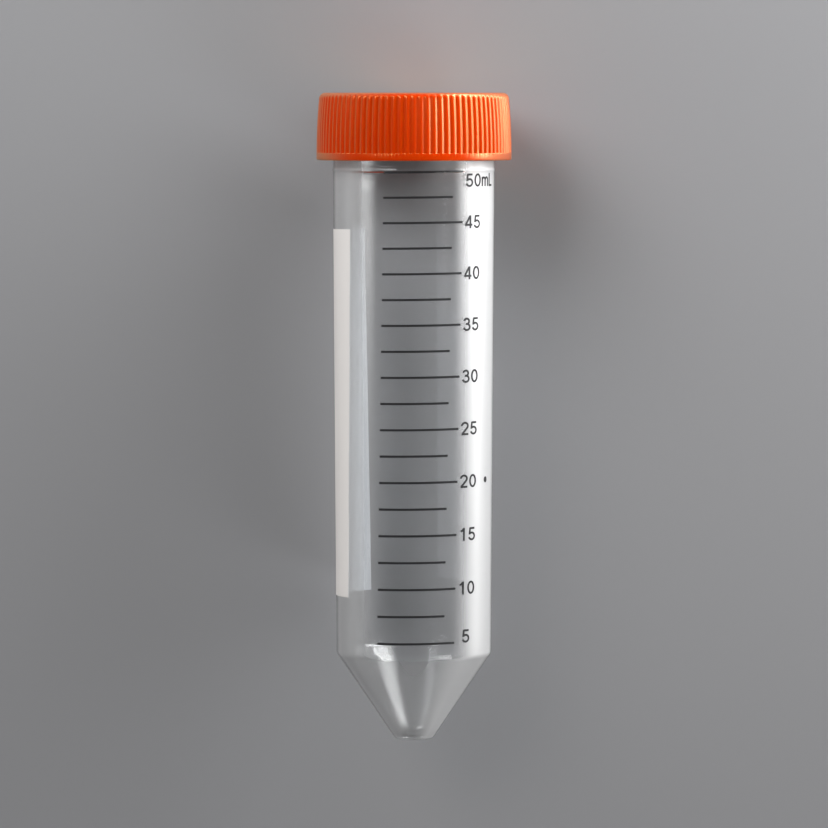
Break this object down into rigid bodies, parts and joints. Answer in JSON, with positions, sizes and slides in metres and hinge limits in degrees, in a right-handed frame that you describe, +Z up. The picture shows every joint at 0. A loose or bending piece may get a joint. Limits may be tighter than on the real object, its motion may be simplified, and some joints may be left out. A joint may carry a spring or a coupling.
{
  "type": "50 ml conical tube",
  "caption": "Clear round plastic tube with a conical closed end, a printed volume scale and a ribbed orange screw cap, lying on its side.",
  "frame": {"origin": "on the surface that the tube lies on, under the middle of its bounding box", "axes": "+Z up; +Y runs along the tube from its tip to its cap; +X to the right when seen from above with the cap at the top. The tube's own axis rises by 2.29 degrees towards the cap, because the cap is wider than the barrel. The printed scale faces +Z."},
  "size_m": [0.0346, 0.1156, 0.0347],
  "materials": {
    "clear_plastic": "clear, moulded, glossy",
    "cap_plastic": "satin, moulded, ribbed",
    "ink": "printed scale and numerals",
    "white_print": "printed writing patch"
  },
  "bodies": {
    "tube": {"tube": "clear_plastic"},
    "cap": {"cap": "cap_plastic"}
  },
  "joints": [
    {"name": "cap_lift", "type": "slide", "parent": "tube", "child": "cap", "axis": [0, 0.9992, 0.0399], "range_m": [0, 0.025]}
  ]
}
